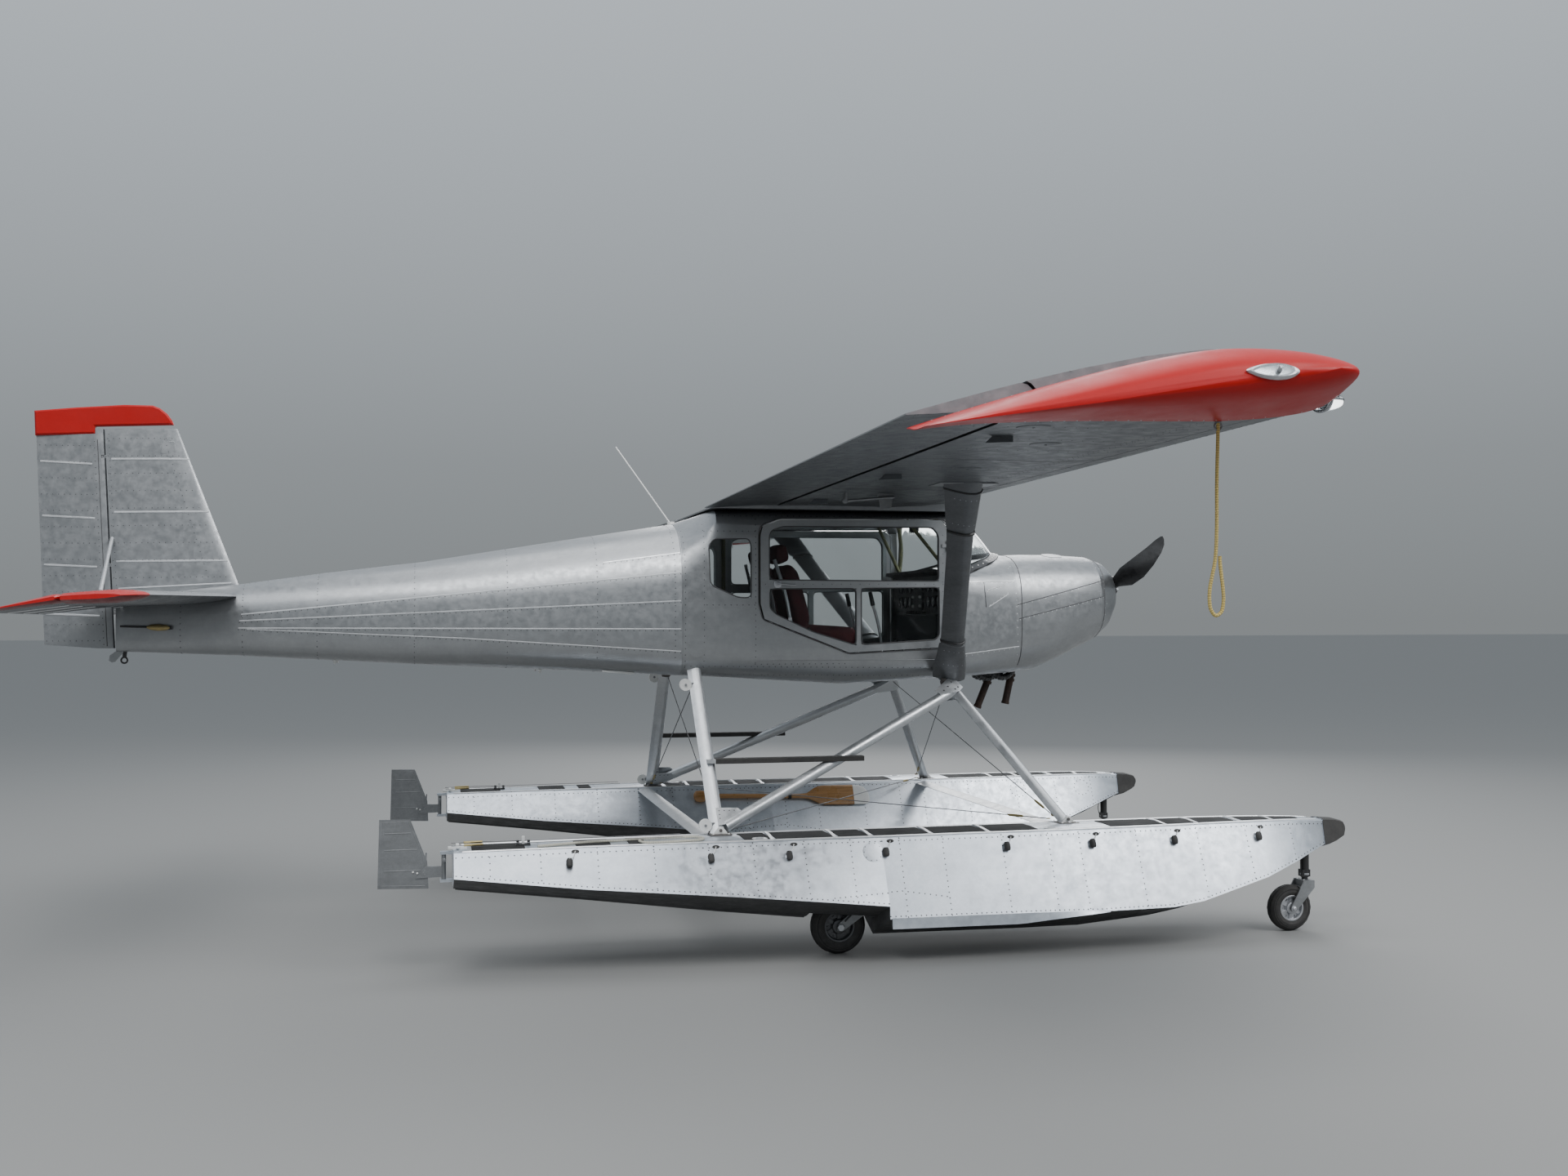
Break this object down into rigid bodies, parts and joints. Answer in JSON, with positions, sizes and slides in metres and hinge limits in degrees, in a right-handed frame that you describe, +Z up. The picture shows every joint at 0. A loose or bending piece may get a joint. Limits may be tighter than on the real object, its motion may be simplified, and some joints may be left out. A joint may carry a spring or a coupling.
{
  "type": "single-engine floatplane on amphibious floats",
  "caption": "High-wing bush aeroplane of bare metal with red tips, standing on the wheels of two long amphibious floats.",
  "frame": {"origin": "on the ground, at the bottom centre of the whole aircraft's box", "axes": "+X to the nose, +Y to the port wing tip, +Z up"},
  "size_m": [7.02, 9.1406, 2.884],
  "materials": {
    "bare_skin": "dull bare metal",
    "float_skin": "bright bare metal",
    "strut_metal": "brushed",
    "red_paint": "gloss red paint",
    "black_paint": "satin black",
    "engine_iron": "dark cast metal",
    "exhaust_steel": "heat-browned steel",
    "gear_steel": "painted steel",
    "window": "clear acrylic",
    "tyre_rubber": "black rubber",
    "seat_cloth": "dark maroon cloth",
    "board_plastic": "matt black",
    "paddle_wood": "varnished",
    "rope_fibre": "twisted fibre"
  },
  "bodies": {
    "airframe": {"tail_cone": "bare_skin", "stabiliser": "bare_skin", "cabin_shell": "bare_skin", "rear_window_right": "window", "rear_window_left": "window", "boot_cowl": "bare_skin", "windscreen": "window", "cowling": "bare_skin", "nose_bowl": "bare_skin", "engine_block": "engine_iron", "exhaust": "exhaust_steel", "wing_right": "bare_skin", "wing_tip_right": "red_paint", "wing_left": "bare_skin", "wing_tip_left": "red_paint", "centre_section": "bare_skin", "lift_strut_right": "bare_skin", "lift_strut_left": "bare_skin", "fin": "bare_skin", "stabiliser_struts": "strut_metal", "seats": "seat_cloth", "instrument_panel": "board_plastic", "antenna_whip": "strut_metal", "float_right": "float_skin", "float_left": "float_skin", "float_strut_rear_right": "strut_metal", "float_strut_front_right": "strut_metal", "float_strut_diagonal_right": "strut_metal", "float_strut_rear_left": "strut_metal", "float_strut_front_left": "strut_metal", "float_strut_diagonal_left": "strut_metal", "spreader_bar_front": "strut_metal", "spreader_bar_rear": "strut_metal", "main_gear_arm_right": "gear_steel", "main_gear_arm_left": "gear_steel", "nose_gear_leg_right": "gear_steel", "nose_gear_leg_left": "gear_steel", "paddle": "paddle_wood", "tie_down_rope": "rope_fibre", "mooring_line": "rope_fibre"},
    "propeller": {"propeller": "black_paint"},
    "rudder": {"rudder": "bare_skin", "rudder_cap": "red_paint"},
    "elevator": {"elevator": "bare_skin"},
    "flaperon_right": {"flaperon_right": "bare_skin"},
    "flaperon_left": {"flaperon_left": "bare_skin"},
    "door_right": {"door_right": "bare_skin", "door_window_right": "window"},
    "door_left": {"door_left": "bare_skin", "door_window_left": "window"},
    "main_wheel_right": {"main_wheel_right": "tyre_rubber"},
    "main_wheel_left": {"main_wheel_left": "tyre_rubber"},
    "nose_fork_right": {"nose_fork_right": "gear_steel"},
    "nose_fork_left": {"nose_fork_left": "gear_steel"},
    "nose_wheel_right": {"nose_wheel_right": "tyre_rubber"},
    "nose_wheel_left": {"nose_wheel_left": "tyre_rubber"},
    "water_rudder_right": {"water_rudder_right": "gear_steel"},
    "water_rudder_left": {"water_rudder_left": "gear_steel"}
  },
  "joints": [
    {"name": "propeller_spin", "type": "hinge", "parent": "airframe", "child": "propeller", "pos_m": [2.712, 0, 1.905], "axis": [1, 0, 0], "continuous": true},
    {"name": "rudder_turn", "type": "hinge", "parent": "airframe", "child": "rudder", "pos_m": [-3.1382, 0, 1.952], "axis": [-0.0518, 0, 0.9987], "range_deg": [-25, 25]},
    {"name": "elevator_tilt", "type": "hinge", "parent": "airframe", "child": "elevator", "pos_m": [-3.083, 0, 1.808], "axis": [0, 1, 0], "range_deg": [-14, 36]},
    {"name": "flaperon_right_tilt", "type": "hinge", "parent": "airframe", "child": "flaperon_right", "pos_m": [0.43295, -2.33, 2.4074], "axis": [0, -1, 0.0091], "range_deg": [-20, 35]},
    {"name": "flaperon_left_tilt", "type": "hinge", "parent": "airframe", "child": "flaperon_left", "pos_m": [0.43295, 2.33, 2.4074], "axis": [0, -1, -0.0091], "range_deg": [-20, 35]},
    {"name": "door_right_swing", "type": "hinge", "parent": "airframe", "child": "door_right", "pos_m": [1.456, -0.583, 1.9], "axis": [0, 0, 1], "range_deg": [0, 48]},
    {"name": "door_left_swing", "type": "hinge", "parent": "airframe", "child": "door_left", "pos_m": [1.456, 0.583, 1.9], "axis": [0, 0, -1], "range_deg": [0, 48]},
    {"name": "main_wheel_right_spin", "type": "hinge", "parent": "airframe", "child": "main_wheel_right", "pos_m": [0.607, -1.306, 0.1425], "axis": [0, 1, 0], "continuous": true},
    {"name": "main_wheel_left_spin", "type": "hinge", "parent": "airframe", "child": "main_wheel_left", "pos_m": [0.607, 1.306, 0.1425], "axis": [0, 1, 0], "continuous": true},
    {"name": "nose_fork_right_swivel", "type": "hinge", "parent": "airframe", "child": "nose_fork_right", "pos_m": [3.267, -1.306, 0.26], "axis": [0, 0, 1], "continuous": true},
    {"name": "nose_fork_left_swivel", "type": "hinge", "parent": "airframe", "child": "nose_fork_left", "pos_m": [3.267, 1.306, 0.26], "axis": [0, 0, 1], "continuous": true},
    {"name": "nose_wheel_right_spin", "type": "hinge", "parent": "nose_fork_right", "child": "nose_wheel_right", "pos_m": [3.169, -1.306, 0.125], "axis": [0, 1, 0], "continuous": true},
    {"name": "nose_wheel_left_spin", "type": "hinge", "parent": "nose_fork_left", "child": "nose_wheel_left", "pos_m": [3.169, 1.306, 0.125], "axis": [0, 1, 0], "continuous": true},
    {"name": "water_rudder_right_turn", "type": "hinge", "parent": "airframe", "child": "water_rudder_right", "pos_m": [-1.365, -1.306, 0.523], "axis": [0, 0, 1], "range_deg": [-30, 30]},
    {"name": "water_rudder_left_turn", "type": "hinge", "parent": "airframe", "child": "water_rudder_left", "pos_m": [-1.365, 1.306, 0.523], "axis": [0, 0, 1], "range_deg": [-30, 30]}
  ],
  "couplings": [
    {"joint": "water_rudder_right_turn", "follows": "rudder_turn", "ratio": 1.2},
    {"joint": "water_rudder_left_turn", "follows": "rudder_turn", "ratio": 1.2}
  ]
}
